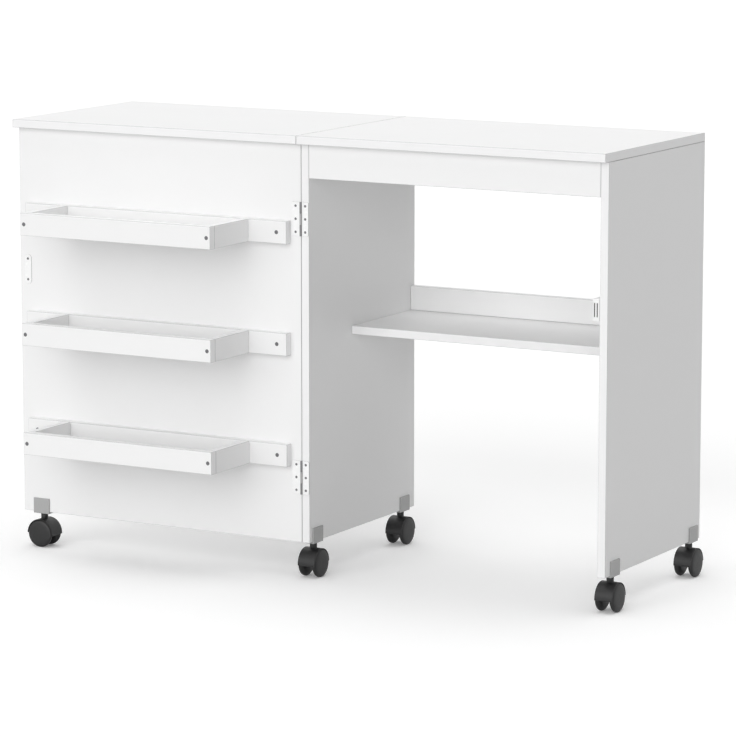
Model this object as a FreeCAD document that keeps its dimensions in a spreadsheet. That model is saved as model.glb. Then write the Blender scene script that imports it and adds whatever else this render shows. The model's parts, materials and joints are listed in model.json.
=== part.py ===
import FreeCAD, Part
import math
import os
import re
import Sketcher

# Folding sewing and cutting table: a fixed top on a two-panel cabinet, a leaf hinged at the seam,
# a swing-out door that carries the leaf and three trays, and five twin-wheel casters.
# Frame: +X along the length, +Y to the back, +Z up, origin under the middle of the whole outline.

# Driving dimensions in millimetres, one spreadsheet cell each
SIZES = {
    # Worktop
    "leaf_length": 596,
    "fixed_top_length": 596,
    "seam_gap": 0.8,
    "seam_chamfer": 0.5,
    "top_depth": 397,
    "top_thickness": 15,
    # Cabinet
    "panel_height": 708,
    "panel_thickness": 15,
    "front_overhang": 14,
    "apron_height": 60,
    "apron_thickness": 15,
    "shelf_drop": 339,
    "shelf_thickness": 15,
    "shelf_setback": 150,
    "rail_height": 45,
    "rail_thickness": 15,
    # Carcass joints
    "dowel_radius": 4,
    "dowel_length": 30,
    "anchor_depth": 10,
    "bolt_radius": 3,
    "cam_radius": 7.5,
    "cam_depth": 12,
    "cam_distance": 24,
    "bolt_entry": 3,
    "bore_clearance": 0.05,
    # Door
    "door_gap": 0.8,
    "door_hinge_inset": 2,
    "door_thickness": 15,
    "door_top_gap": 1,
    "door_reveal": 1,
    # Door hinges
    "hinge_height": 60,
    "upper_hinge_drop": 102,
    "lower_hinge_lift": 87,
    "hinge_plate_thickness": 1.2,
    "hinge_knuckle_radius": 2,
    "hinge_knuckle_gap": 0.3,
    "hinge_pin_radius": 1.1,
    "hinge_corner_radius": 3,
    "hinge_hole_inset": 7,
    "panel_plate_reach": 15,
    "door_plate_reach": 19.5,
    # Leaf hinge
    "leaf_hinge_inset": 20,
    "leaf_hinge_lift": 0.1,
    "leaf_plate_height": 11,
    "leaf_plate_thickness": 1.2,
    "leaf_plate_proud": 0.15,
    "leaf_plate_drop": 0.2,
    "leaf_knuckle_radius": 0.65,
    "leaf_knuckle_gap": 0.15,
    "leaf_pin_radius": 0.35,
    # Trays
    "tray_projection": 143,
    "tray_width": 396,
    "tray_height": 40,
    "tray_board": 15,
    "tray_back_end_gap": 21.5,
    "tray_drop": 136,
    "tray_pitch": 198,
    "tray_mount_inset": 20,
    "tray_floor_thickness": 3,
    "tray_floor_lift": 5,
    "tray_groove_depth": 4,
    "tray_groove_clearance": 0.2,
    "tray_floor_end_gap": 0.5,
    # Screws
    "board_head_radius": 3.6,
    "board_head_height": 2.2,
    "board_shank_radius": 1.9,
    "plate_head_radius": 2.3,
    "plate_head_height": 1.1,
    "plate_shank_radius": 1.2,
    "leaf_head_radius": 2,
    "leaf_head_height": 0.7,
    "leaf_shank_radius": 1,
    "tray_frame_screw_length": 38,
    "tray_mount_screw_length": 27,
    "hinge_screw_length": 13,
    "leaf_screw_length": 14,
    "strike_screw_length": 12,
    "catch_screw_length": 23,
    "bracket_screw_length": 18,
    # Magnetic catch and its strike plate
    "strike_width": 15,
    "strike_height": 54,
    "strike_thickness": 1.2,
    "strike_corner_radius": 7,
    "strike_inset": 16,
    "strike_drop": 259,
    "strike_hole_spacing": 38,
    "catch_width": 12,
    "catch_depth": 24,
    "catch_height": 38,
    "catch_drop": 250,
    "catch_gap": 0.3,
    "catch_corner_radius": 1,
    "catch_screw_spacing": 31,
    "pole_thickness": 1.8,
    "pole_height": 24,
    "pole_depth": 10,
    "pole_spacing": 5,
    "pole_proud": 0.6,
    # Caster brackets
    "bracket_width": 34,
    "bracket_height": 25.5,
    "bracket_thickness": 3,
    "bracket_screw_spacing": 22,
    # Casters
    "caster_height": 65,
    "caster_width": 38,
    "caster_front_inset": 36,
    "caster_rear_inset": 29,
    "left_caster_shift": 10,
    "door_caster_inset": 39,
    "stem_radius": 3.5,
    "stem_rise": 26,
    "neck_radius": 6.5,
    "neck_gap": 0.3,
    "boss_lift": 11,
    "hood_width": 34,
    "hood_wall": 1.5,
    "hood_clearance": 0.5,
    "web_thickness": 5,
    "hub_gap": 0.4,
    "hub_radius": 6.5,
    "wheel_radius": 25,
    "wheel_bevel": 1.5,
    "wheel_gap": 0.7,
    "wheel_face_radius": 15,
    "axle_radius": 2,
    "axle_end_cover": 5,
    "overrun": 1,
}

# Angles in degrees
FULL_TURN = 360
HALF_TURN = 180
QUARTER_TURN = 90
EIGHTH_TURN = 45

# Sweep of a caster's hood in degrees: from axle level at the rear, over the top and down the front
HOOD_SWEEP = 186

# Knuckles along the leaf hinge, and screws along each of its plates
LEAF_KNUCKLES = 12
LEAF_SCREWS = 4

# Where the carcass fittings sit, as shares of the board that they are spread along
TOP_DOWEL_SHARES = (0.15, 0.85)
TOP_CAM_SHARES = (0.3, 0.7)
APRON_DOWEL_SHARE = 0.7
APRON_CAM_SHARE = 0.3
SHELF_DOWEL_SHARES = (0.12, 0.8)
SHELF_CAM_SHARES = (0.32, 0.6)
RAIL_DOWEL_SHARE = 0.25
RAIL_CAM_SHARE = 0.68

# Places and sizes worked out from the driving dimensions
PLACES = {
    "seam_x": "(leaf_length - fixed_top_length + panel_thickness / 2 - caster_width / 2) / 2",
    "leaf_right": "seam_x - seam_gap / 2",
    "leaf_left": "leaf_right - leaf_length",
    "top_left": "seam_x + seam_gap / 2",
    "top_right": "top_left + fixed_top_length",
    "back_y": "(top_depth - front_overhang + tray_projection) / 2",
    "top_front": "back_y - top_depth",
    "panel_front": "top_front + front_overhang",
    "panel_depth": "top_depth - front_overhang",
    "panel_top": "caster_height + panel_height",
    "table_top": "panel_top + top_thickness",
    "hinge_x": "seam_x + door_hinge_inset",
    "hinge_y": "panel_front - hinge_knuckle_radius",
    "left_outer": "hinge_x + door_gap / 2",
    "left_inner": "left_outer + panel_thickness",
    "right_inner": "top_right - panel_thickness",
    "bay_width": "right_inner - left_inner",
    "door_right": "hinge_x - door_gap / 2",
    "door_width": "top_right - door_reveal - left_outer",
    "door_left": "door_right - door_width",
    "door_height": "panel_height - door_top_gap",
    "door_middle": "door_right - door_width / 2",
    "shelf_top": "panel_top - shelf_drop",
    "shelf_front": "panel_front + shelf_setback",
    "shelf_depth": "panel_depth - shelf_setback",
    "tray_front": "panel_front - tray_projection",
    "tray_left": "door_middle - tray_width / 2",
    "tray_right": "door_middle + tray_width / 2",
    "tray_side_length": "tray_projection - 2 * tray_board",
    "tray_back_length": "door_width - 2 * tray_back_end_gap",
    "leaf_axis_z": "table_top + leaf_hinge_lift",
    "leaf_hinge_length": "top_depth - 2 * leaf_hinge_inset",
    "leaf_knuckle_pitch": f"leaf_hinge_length / {LEAF_KNUCKLES}",
    "strike_front": "panel_front - 2 * hinge_knuckle_radius + strike_thickness",
    "pole_front": "strike_front + catch_gap",
    "catch_front": "pole_front + pole_proud",
    "flange_bottom": "caster_height - bracket_thickness",
    "axle_z": "wheel_radius",
    "hood_inner": "wheel_radius + hood_clearance",
    "hood_outer": "hood_inner + hood_wall",
    "neck_top": "flange_bottom - neck_gap - axle_z",
    "stem_length": "caster_height + stem_rise - axle_z - boss_lift - hood_wall",
    "axle_length": "caster_width - 2 * axle_end_cover",
    "wheel_inner": "neck_radius + wheel_gap",
    "hub_length": "2 * (wheel_inner - hub_gap)",
}

RIGHT = FreeCAD.Vector(1, 0, 0)
LEFT = FreeCAD.Vector(-1, 0, 0)
BACK = FreeCAD.Vector(0, 1, 0)
FRONT = FreeCAD.Vector(0, -1, 0)
UP = FreeCAD.Vector(0, 0, 1)
DOWN = FreeCAD.Vector(0, 0, -1)

doc = FreeCAD.newDocument("FoldingTable")
nodes = []


# Sheet and expressions

def make_sheet():
    """Write every driving dimension into the sheet as a plain number with an alias."""
    sheet = doc.addObject("Spreadsheet::Sheet", "Sizes")
    for row, (alias, value) in enumerate(SIZES.items(), start=1):
        sheet.set(f"A{row}", alias)
        sheet.set(f"B{row}", str(value))
        sheet.setAlias(f"B{row}", alias)
    doc.recompute()


def expand(text):
    """Turn named places into sums of sheet cells, and leave the names of functions alone."""
    def swap(match):
        word = match.group(0)
        if word in PLACES:
            return "(" + expand(PLACES[word]) + ")"
        if word in SIZES:
            return "Sizes." + word
        return word
    return re.sub(r"[a-z][a-z_]*", swap, text)


def bind(item, prop, text):
    item.setExpression(prop, expand(text))


def put(item, spot, rotation=None):
    """Place an object at three expressions, turned by a fixed rotation."""
    if rotation is not None:
        item.Placement = FreeCAD.Placement(FreeCAD.Vector(), rotation)
    for axis, text in zip("xyz", spot):
        bind(item, "Placement.Base." + axis, text)


def toward(start, direction, distance):
    """The spot that lies a distance from the start along an axis direction."""
    signs = (direction.x, direction.y, direction.z)
    return tuple(
        text if not sign else f"({text}) {'+' if sign > 0 else '-'} ({distance})"
        for text, sign in zip(start, signs)
    )


# Primitives and booleans

def box(name, sizes, corner):
    item = doc.addObject("Part::Box", name)
    for prop, text in zip(("Length", "Width", "Height"), sizes):
        bind(item, prop, text)
    put(item, corner)
    return item


def cylinder(name, radius, length, start, direction):
    item = doc.addObject("Part::Cylinder", name)
    bind(item, "Radius", radius)
    bind(item, "Height", length)
    put(item, start, FreeCAD.Rotation(UP, direction))
    return item


def cone(name, first_radius, last_radius, length, start, direction):
    item = doc.addObject("Part::Cone", name)
    bind(item, "Radius1", first_radius)
    bind(item, "Radius2", last_radius)
    bind(item, "Height", length)
    put(item, start, FreeCAD.Rotation(UP, direction))
    return item


def fuse(name, items):
    if len(items) == 1:
        return items[0]
    item = doc.addObject("Part::MultiFuse", name)
    item.Shapes = items
    return item


def cut(name, base, tools):
    item = doc.addObject("Part::Cut", name)
    item.Base = base
    item.Tool = fuse(name + "_tools", tools)
    return item


def group(name, items):
    item = doc.addObject("Part::Compound", name)
    item.Links = items
    return item


def node(label, item):
    """Name an object as one of the table's pieces."""
    item.Label = label
    nodes.append(item)
    return item


# Sketches

def new_body(name):
    return doc.addObject("PartDesign::Body", name)


def sketch_on(body, name, role, offset=None):
    """A sketch on one of the body's own origin planes, moved along the plane's normal."""
    sketch = body.newObject("Sketcher::SketchObject", name)
    plane = next(item for item in body.Origin.OriginFeatures if item.Role == role)
    sketch.AttachmentSupport = (plane, [""])
    sketch.MapMode = "FlatFace"
    if offset is not None:
        bind(sketch, "AttachmentOffset.Base.z", offset)
    return sketch


def fix_point(sketch, element, corner, place):
    """Tie a sketch point to its two distances from the sketch's origin."""
    for kind, text, axis in (("DistanceX", place[0], -2), ("DistanceY", place[1], -1)):
        if text == "0":
            sketch.addConstraint(Sketcher.Constraint("PointOnObject", element, corner, axis))
            continue
        index = sketch.addConstraint(Sketcher.Constraint(kind, -1, 1, element, corner, 1.0))
        bind(sketch, f"Constraints[{index}]", text)


def draw_outline(sketch, places):
    """A closed outline of straight lines through the given places."""
    count = len(places)
    rough = [FreeCAD.Vector(step, step * step, 0) for step in range(1, count + 1)]
    for step in range(count):
        sketch.addGeometry(Part.LineSegment(rough[step], rough[(step + 1) % count]))
    for step in range(count):
        joined = Sketcher.Constraint("Coincident", step, 2, (step + 1) % count, 1)
        sketch.addConstraint(joined)
    for step, place in enumerate(places):
        fix_point(sketch, step, 1, place)


def draw_circle(sketch, place, radius):
    element = sketch.addGeometry(Part.Circle(FreeCAD.Vector(), UP, 1))
    index = sketch.addConstraint(Sketcher.Constraint("Radius", element, 1.0))
    bind(sketch, f"Constraints[{index}]", radius)
    fix_point(sketch, element, 3, place)


def draw_half_disc(sketch, radius):
    """The half of a disc that lies above the sketch's level axis."""
    whole = Part.Circle(FreeCAD.Vector(), UP, 1)
    arc = sketch.addGeometry(Part.ArcOfCircle(whole, 0, math.pi))
    line = sketch.addGeometry(Part.LineSegment(LEFT, RIGHT))
    sketch.addConstraint(Sketcher.Constraint("Coincident", arc, 3, -1, 1))
    sketch.addConstraint(Sketcher.Constraint("PointOnObject", arc, 1, -1))
    sketch.addConstraint(Sketcher.Constraint("PointOnObject", arc, 2, -1))
    sketch.addConstraint(Sketcher.Constraint("Coincident", arc, 2, line, 1))
    sketch.addConstraint(Sketcher.Constraint("Coincident", arc, 1, line, 2))
    index = sketch.addConstraint(Sketcher.Constraint("Radius", arc, 1.0))
    bind(sketch, f"Constraints[{index}]", radius)


def pad(body, name, sketch, length):
    feature = body.newObject("PartDesign::Pad", name)
    feature.Profile = sketch
    bind(feature, "Length", length)
    return feature


def pocket(body, name, sketch, length):
    feature = body.newObject("PartDesign::Pocket", name)
    feature.Profile = sketch
    bind(feature, "Length", length)
    return feature


def revolve(body, name, sketch, degrees):
    """Turn a sketch about its own level axis."""
    feature = body.newObject("PartDesign::Revolution", name)
    feature.Profile = sketch
    feature.ReferenceAxis = (sketch, ["H_Axis"])
    feature.Angle = degrees
    return feature


def round_corners(body, name, base, is_corner, radius):
    """Round the edges of the base that the test picks."""
    doc.recompute()
    picked = [f"Edge{step}" for step, edge in enumerate(base.Shape.Edges, start=1) if is_corner(edge)]
    feature = body.newObject("PartDesign::Fillet", name)
    feature.Base = (base, picked)
    bind(feature, "Radius", radius)
    return feature


def runs_along(edge, direction):
    """Whether a straight edge lies along an axis direction."""
    first, last = edge.Vertexes[0].Point, edge.Vertexes[-1].Point
    return (last - first).cross(direction).Length < Part.Precision.confusion()


def plate_blank(name, width, height, thickness, corner_radius, is_corner):
    """A flat plate whose back lies on the XZ plane, with some of its corners rounded."""
    body = new_body(name)
    sketch = sketch_on(body, name + "_outline", "XZ_Plane")
    draw_outline(sketch, [("0", "0"), (width, "0"), (width, height), ("0", height)])
    base = pad(body, name + "_pad", sketch, thickness)
    round_corners(body, name + "_corners", base, is_corner, corner_radius)
    return body


# Fasteners

def screw(name, family, length, start, direction):
    """A countersunk screw with its head flush at the start, and the hole that takes it."""
    head = f"{family}_head_radius"
    height = f"{family}_head_height"
    shank = f"{family}_shank_radius"
    neck = toward(start, direction, height)
    rest = f"{length} - {height}"
    pair = []
    for part_name, spare in ((name, ""), (name + "_hole", " + bore_clearance")):
        top = cone(part_name + "_head", head + spare, shank + spare, height, start, direction)
        stalk = cylinder(part_name + "_shank", shank + spare, rest, neck, direction)
        pair.append(fuse(part_name, [top, stalk]))
    return pair


def pin_and_bore(name, radius, length, start, direction):
    """A round pin and the bore that takes it."""
    pin = cylinder(name, radius, length, start, direction)
    bore = cylinder(name + "_bore", radius + " + bore_clearance", length, start, direction)
    return pin, bore


class Carcass:
    """Collects the hidden dowels, bolts and cams, and the holes that each board needs for them."""

    def __init__(self):
        self.dowels = []
        self.bolts = []
        self.cams = []
        self.holes = {}

    def drill(self, boards, hole):
        for board in boards:
            self.holes.setdefault(board, []).append(hole)

    def dowel(self, name, boards, start, direction):
        """A dowel from inside the anchoring board, across the joint, into the other board."""
        pin, bore = pin_and_bore(name, "dowel_radius", "dowel_length",
                                 toward(start, direction, "-anchor_depth"), direction)
        self.dowels.append(pin)
        self.drill(boards, bore)

    def cam(self, name, boards, start, direction, face_offset, face_direction):
        """A bolt anchored in the first board and held by a cam let into a face of the second."""
        bolt, bore = pin_and_bore(name + "_bolt", "bolt_radius", "anchor_depth + cam_distance + bolt_entry",
                                  toward(start, direction, "-anchor_depth"), direction)
        centre = toward(start, direction, "cam_distance")
        face = toward(centre, face_direction, f"{face_offset} - cam_depth")
        disc, seat = pin_and_bore(name + "_disc", "cam_radius", "cam_depth", face, face_direction)
        self.bolts.append(bolt)
        self.cams.append(cut(name + "_cam", disc, [bore]))
        self.drill(boards, bore)
        self.drill(boards[1:], seat)


# Worktop

def leaf_hinge():
    """A slim hinge along the seam: two plates let into the boards' ends, knuckles in turn and one pin."""
    start_y = "top_front + leaf_hinge_inset"
    bottom = "table_top - leaf_plate_height"
    screw_z = f"({bottom} + table_top - seam_chamfer) / 2"
    top_face = "top_left - leaf_plate_proud"
    leaf_face = "leaf_right + leaf_plate_proud"
    # Each side: where its plate starts, the face that its screws enter, their direction, its first knuckle
    sides = {
        "top": (top_face, top_face, RIGHT, 0),
        "leaf": (f"{leaf_face} - leaf_plate_thickness", leaf_face, LEFT, 1),
    }
    bore = cylinder("leaf_hinge_bore", "leaf_pin_radius + bore_clearance",
                    "leaf_hinge_length + 2 * overrun",
                    ("seam_x", f"{start_y} - overrun", "leaf_axis_z"), BACK)
    holes = {}
    for side, (plate_x, face_x, direction, first_knuckle) in sides.items():
        name = f"leaf_hinge_{side}"
        corner = (plate_x, start_y, bottom)
        plate = box(f"{name}_strip",
                    ("leaf_plate_thickness", "leaf_hinge_length", "leaf_plate_height - leaf_plate_drop"), corner)
        rebate = box(f"{name}_rebate",
                     ("leaf_plate_thickness", "leaf_hinge_length", "leaf_plate_height + overrun"), corner)
        knuckles = []
        rooms = []
        for step in range(LEAF_KNUCKLES):
            first = f"{start_y} + {step} * leaf_knuckle_pitch"
            if step % 2 == first_knuckle:
                knuckles.append(cylinder(f"{name}_knuckle_{step}", "leaf_knuckle_radius",
                                         "leaf_knuckle_pitch - leaf_knuckle_gap",
                                         ("seam_x", first, "leaf_axis_z"), BACK))
            else:
                rooms.append(cylinder(f"{name}_room_{step}",
                                      "leaf_knuckle_radius + leaf_knuckle_gap",
                                      "leaf_knuckle_pitch + leaf_knuckle_gap",
                                      ("seam_x", f"{first} - leaf_knuckle_gap", "leaf_axis_z"), BACK))
        made = []
        for step in range(LEAF_SCREWS):
            screw_share = (step + 0.5) / LEAF_SCREWS
            spot = (face_x, f"{start_y} + leaf_hinge_length * {screw_share}", screw_z)
            made.append(screw(f"{name}_screw_{step}", "leaf", "leaf_screw_length", spot, direction))
        screw_holes = [pair[1] for pair in made]
        holes[side] = screw_holes + [rebate]
        blank = cut(f"{name}_blank", plate, rooms)
        whole = fuse(f"{name}_whole", [blank] + knuckles)
        node(f"{name}_plate", cut(f"{name}_plate_cut", whole, [bore] + screw_holes))
        node(f"{name}_screws", group(f"{name}_screw_set", [pair[0] for pair in made]))
    node("leaf_hinge_pin", cylinder("leaf_hinge_rod", "leaf_pin_radius",
                                    "leaf_hinge_length - leaf_knuckle_gap",
                                    ("seam_x", start_y, "leaf_axis_z"), BACK))
    return holes


def seam_edge(name, edge_x):
    """The corner that is planed off a board's end along the seam."""
    side = "sqrt(2) * seam_chamfer"
    corner = (edge_x, "top_front - overrun", "table_top - seam_chamfer")
    bar = box(name, (side, "top_depth + 2 * overrun", side), corner)
    put(bar, corner, FreeCAD.Rotation(BACK, -EIGHTH_TURN))
    return bar


def worktop(carcass, hinge_holes):
    top = box("fixed_top_board", ("fixed_top_length", "top_depth", "top_thickness"),
              ("top_left", "top_front", "panel_top"))
    leaf = box("leaf_board", ("leaf_length", "top_depth", "top_thickness"),
               ("leaf_left", "top_front", "panel_top"))
    top_tools = carcass.holes["fixed_top"] + hinge_holes["top"] + [seam_edge("top_seam_edge", "top_left")]
    leaf_tools = hinge_holes["leaf"] + [seam_edge("leaf_seam_edge", "leaf_right")]
    node("fixed_top", cut("fixed_top_cut", top, top_tools))
    node("folding_leaf", cut("folding_leaf_cut", leaf, leaf_tools))


# Cabinet

def carcass_joints():
    """Every hidden fitting of the cabinet, worked out board by board."""
    carcass = Carcass()
    sides = (
        ("left", "left_outer", "left_inner", RIGHT),
        ("right", "right_inner", "right_inner", LEFT),
    )
    for side, panel_x, inner, inward in sides:
        panel = f"{side}_side_panel"
        middle = f"{panel_x} + panel_thickness / 2"
        for step, share in enumerate(TOP_DOWEL_SHARES):
            carcass.dowel(f"{side}_top_dowel_{step}", ("fixed_top", panel),
                          (middle, f"panel_front + panel_depth * {share}", "panel_top"), DOWN)
        for step, share in enumerate(TOP_CAM_SHARES):
            carcass.cam(f"{side}_top_{step}", ("fixed_top", panel),
                        (middle, f"panel_front + panel_depth * {share}", "panel_top"), DOWN,
                        "panel_thickness / 2", inward)
        aprons = (
            ("front_apron", "panel_front + apron_thickness / 2", BACK),
            ("rear_apron", "back_y - apron_thickness / 2", FRONT),
        )
        for board, y, cam_face in aprons:
            dowel_z = f"panel_top - apron_height + apron_height * {APRON_DOWEL_SHARE}"
            cam_z = f"panel_top - apron_height + apron_height * {APRON_CAM_SHARE}"
            carcass.dowel(f"{side}_{board}_dowel", (panel, board), (inner, y, dowel_z), inward)
            carcass.cam(f"{side}_{board}", (panel, board), (inner, y, cam_z), inward,
                        "apron_thickness / 2", cam_face)
        shelf_z = "shelf_top - shelf_thickness / 2"
        for step, share in enumerate(SHELF_DOWEL_SHARES):
            carcass.dowel(f"{side}_shelf_dowel_{step}", (panel, "shelf"),
                          (inner, f"shelf_front + shelf_depth * {share}", shelf_z), inward)
        for step, share in enumerate(SHELF_CAM_SHARES):
            carcass.cam(f"{side}_shelf_{step}", (panel, "shelf"),
                        (inner, f"shelf_front + shelf_depth * {share}", shelf_z), inward,
                        "shelf_thickness / 2", DOWN)
        rail_y = "back_y - rail_thickness / 2"
        carcass.dowel(f"{side}_rail_dowel", (panel, "shelf_back_rail"),
                      (inner, rail_y, f"shelf_top + rail_height * {RAIL_DOWEL_SHARE}"), inward)
        carcass.cam(f"{side}_rail", (panel, "shelf_back_rail"),
                    (inner, rail_y, f"shelf_top + rail_height * {RAIL_CAM_SHARE}"), inward,
                    "rail_thickness / 2", BACK)
    return carcass


def cabinet(carcass, panel_holes):
    panel_size = ("panel_thickness", "panel_depth", "panel_height")
    for side, x in (("left", "left_outer"), ("right", "right_inner")):
        label = f"{side}_side_panel"
        board = box(label + "_board", panel_size, (x, "panel_front", "caster_height"))
        node(label, cut(label + "_cut", board, carcass.holes[label] + panel_holes[side]))
    crossings = {
        "front_apron": (("bay_width", "apron_thickness", "apron_height"),
                        ("left_inner", "panel_front", "panel_top - apron_height")),
        "rear_apron": (("bay_width", "apron_thickness", "apron_height"),
                       ("left_inner", "back_y - apron_thickness", "panel_top - apron_height")),
        "shelf": (("bay_width", "shelf_depth", "shelf_thickness"),
                  ("left_inner", "shelf_front", "shelf_top - shelf_thickness")),
        "shelf_back_rail": (("bay_width", "rail_thickness", "rail_height"),
                            ("left_inner", "back_y - rail_thickness", "shelf_top")),
    }
    for label, (size, corner) in crossings.items():
        board = box(label + "_board", size, corner)
        node(label, cut(label + "_cut", board, carcass.holes[label]))
    node("carcass_dowels", group("dowel_set", carcass.dowels))
    node("cam_bolts", group("bolt_set", carcass.bolts))
    node("cam_locks", group("cam_set", carcass.cams))


# Door hinges

def door_hinges():
    """Two butt hinges on the front faces: plates, knuckles in thirds and a pin that the panel keeps."""
    third = "hinge_height / 3"
    bottoms = {
        "upper": "panel_top - upper_hinge_drop - hinge_height",
        "lower": "caster_height + lower_hinge_lift",
    }
    plates = {"panel": [], "door": []}
    screws = {"panel": [], "door": []}
    holes = {"panel": [], "door": []}
    pins = []
    for level, bottom in bottoms.items():
        axis = ("hinge_x", "hinge_y")
        bore = cylinder(f"{level}_hinge_bore", "hinge_pin_radius + bore_clearance",
                        "hinge_height + 2 * overrun", axis + (f"{bottom} - overrun",), UP)
        pin = cylinder(f"{level}_hinge_pin", "hinge_pin_radius", "hinge_height", axis + (bottom,), UP)
        pins.append(pin)
        first_joint = f"{bottom} + {third}"
        second_joint = f"{bottom} + 2 * {third}"
        knuckle_starts = {
            "panel": (bottom, f"{second_joint} + hinge_knuckle_gap / 2"),
            "door": (f"{first_joint} + hinge_knuckle_gap / 2",),
        }
        lengths = {"panel": f"{third} - hinge_knuckle_gap / 2", "door": f"{third} - hinge_knuckle_gap"}
        rooms = {
            "panel": ((f"{first_joint} - hinge_knuckle_gap / 2", f"{third} + hinge_knuckle_gap"),),
            "door": (
                (f"{bottom} - overrun", f"{third} + overrun + hinge_knuckle_gap / 2"),
                (f"{second_joint} - hinge_knuckle_gap / 2", f"{third} + overrun + hinge_knuckle_gap"),
            ),
        }
        for side in ("panel", "door"):
            name = f"{level}_hinge_{side}"
            reach = f"{side}_plate_reach"
            blank = hinge_blank(name, side, reach, bottom)
            cleared = cut(name + "_cleared", blank, [
                cylinder(f"{name}_room_{step}", "hinge_knuckle_radius + hinge_knuckle_gap", length,
                         axis + (start,), UP)
                for step, (start, length) in enumerate(rooms[side])
            ])
            barrels = [
                cylinder(f"{name}_knuckle_{step}", "hinge_knuckle_radius", lengths[side],
                         axis + (start,), UP)
                for step, start in enumerate(knuckle_starts[side])
            ]
            sign = "+" if side == "panel" else "-"
            hole_x = f"hinge_x {sign} (hinge_knuckle_radius + {reach}) / 2"
            spread = "(hinge_height - 2 * hinge_hole_inset) / 2"
            made = [
                screw(f"{name}_screw_{step}", "plate", "hinge_screw_length",
                      (hole_x, "panel_front - hinge_plate_thickness",
                       f"{bottom} + hinge_hole_inset + {step} * {spread}"), BACK)
                for step in range(3)
            ]
            screws[side] += [pair[0] for pair in made]
            side_holes = [pair[1] for pair in made]
            holes[side] += side_holes
            whole = fuse(name + "_whole", [cleared] + barrels)
            plates[side].append(cut(name + "_plate", whole, [bore] + side_holes))
    for side in ("panel", "door"):
        node(f"door_hinge_{side}_plates", group(f"{side}_plate_set", plates[side]))
        node(f"door_hinge_{side}_screws", group(f"{side}_hinge_screw_set", screws[side]))
    node("door_hinge_pins", group("hinge_pin_set", pins))
    return holes


def hinge_blank(name, side, reach, bottom):
    """A hinge plate before it is cleared and bored, with its two outer corners rounded."""
    def is_outer_corner(edge):
        at_far_side = edge.CenterOfMass.x > Part.Precision.confusion()
        return runs_along(edge, BACK) and at_far_side == (side == "panel")
    body = plate_blank(name + "_blank", reach, "hinge_height", "hinge_plate_thickness",
                       "hinge_corner_radius", is_outer_corner)
    left = "hinge_x" if side == "panel" else f"hinge_x - {reach}"
    put(body, (left, "panel_front", bottom))
    return body


# Magnetic catch

def magnetic_catch():
    """The housing on the right panel, its two pole bars and its screws; returns the screw holes."""
    middle_z = "panel_top - catch_drop"
    left = "right_inner - catch_width"
    body = new_body("catch_block")
    sketch = sketch_on(body, "catch_outline", "YZ_Plane")
    draw_outline(sketch, [("0", "0"), ("catch_depth", "0"), ("catch_depth", "catch_height"),
                          ("0", "catch_height")])
    base = pad(body, "catch_pad", sketch, "catch_width")
    round_corners(body, "catch_corners", base, lambda edge: runs_along(edge, RIGHT), "catch_corner_radius")
    put(body, (left, "catch_front", f"{middle_z} - catch_height / 2"))
    poles = []
    slots = []
    centre_x = "right_inner - catch_width / 2"
    for name, sign in (("left_pole", "-"), ("right_pole", "+")):
        pole_x = f"{centre_x} {sign} pole_spacing / 2 - pole_thickness / 2"
        corner = (pole_x, "pole_front", f"{middle_z} - pole_height / 2")
        poles.append(box(name, ("pole_thickness", "pole_depth", "pole_height"), corner))
        slots.append(box(name + "_slot", ("pole_thickness", "pole_depth", "pole_height"), corner))
    made = [
        screw(f"catch_screw_{step}", "plate", "catch_screw_length",
              (left, "catch_front + catch_depth / 2", f"{middle_z} {sign} catch_screw_spacing / 2"), RIGHT)
        for step, sign in enumerate("+-")
    ]
    holes = [pair[1] for pair in made]
    node("catch_housing", cut("catch_housing_cut", body, slots + holes))
    node("catch_poles", group("pole_set", poles))
    node("catch_screws", group("catch_screw_set", [pair[0] for pair in made]))
    return holes


def strike():
    """The plate on the door that the catch holds; returns the screw holes."""
    body = plate_blank("strike_blank", "strike_width", "strike_height", "strike_thickness",
                       "strike_corner_radius", lambda edge: runs_along(edge, BACK))
    middle_x = "door_left + strike_inset"
    middle_z = "panel_top - strike_drop"
    put(body, (f"{middle_x} - strike_width / 2", "panel_front", f"{middle_z} - strike_height / 2"))
    made = [
        screw(f"strike_screw_{step}", "plate", "strike_screw_length",
              (middle_x, "panel_front - strike_thickness",
               f"{middle_z} {sign} strike_hole_spacing / 2"), BACK)
        for step, sign in enumerate("+-")
    ]
    holes = [pair[1] for pair in made]
    node("strike_plate", cut("strike_plate_cut", body, holes))
    node("strike_plate_screws", group("strike_screw_set", [pair[0] for pair in made]))
    return holes


# Trays

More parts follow.
